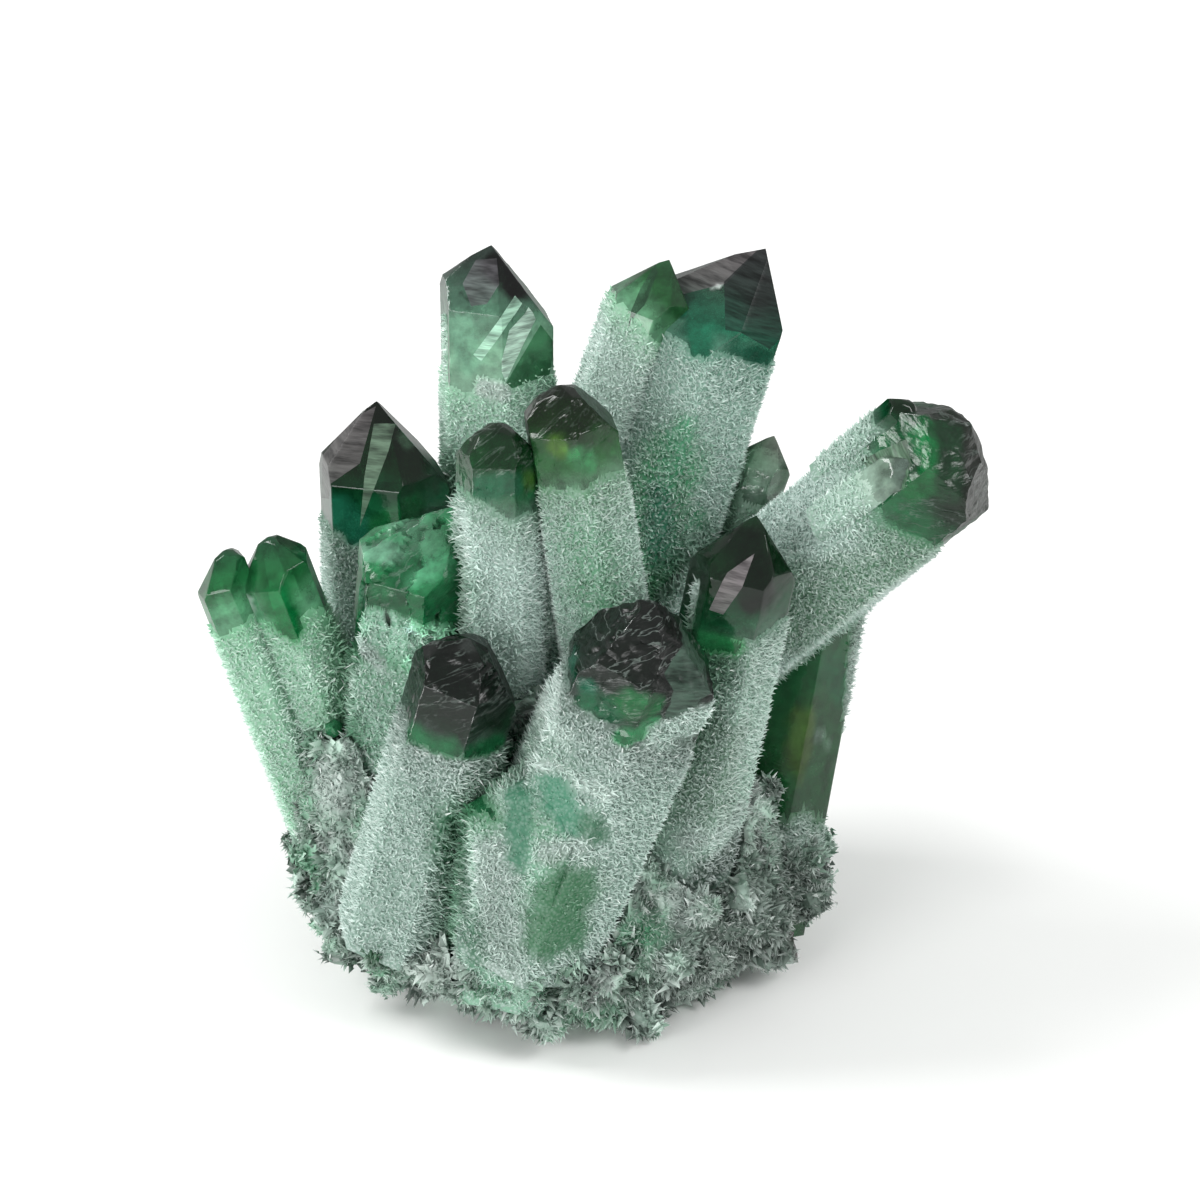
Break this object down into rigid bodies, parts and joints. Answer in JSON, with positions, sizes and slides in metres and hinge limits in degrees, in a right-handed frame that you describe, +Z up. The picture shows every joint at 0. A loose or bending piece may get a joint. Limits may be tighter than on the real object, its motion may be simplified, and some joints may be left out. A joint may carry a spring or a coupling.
{
  "type": "quartz crystal cluster",
  "caption": "Upright cluster of stout green phantom quartz points with needle-coated sides, fanning out of a crust of small crystals cut flat underneath.",
  "frame": {"origin": "on the flat cut that the cluster rests on, under the middle of the crystals", "axes": "+Z up from the flat cut, +X to the right in the front view, +Y away from the viewer"},
  "size_m": [0.099, 0.076, 0.091],
  "materials": {
    "quartz": "clear green quartz, lustrous points and frosted, needle-coated sides",
    "druse_crust": "sparkling crust of small crystals"
  },
  "bodies": {
    "root": {"druse_base": "druse_crust", "left_twin": "quartz", "left_point": "quartz", "broken_stub": "quartz", "tall_left_crystal": "quartz", "centre_pair": "quartz", "tall_right_crystal": "quartz", "small_back_crystal": "quartz", "leaning_crystal": "quartz", "right_front_crystal": "quartz", "front_right_crystal": "quartz", "front_left_crystal": "quartz", "right_slab": "quartz", "back_left_crystal": "quartz", "back_centre_crystal": "quartz", "back_right_crystal": "quartz", "side_right_crystal": "quartz", "side_left_crystal": "quartz"}
  },
  "joints": []
}
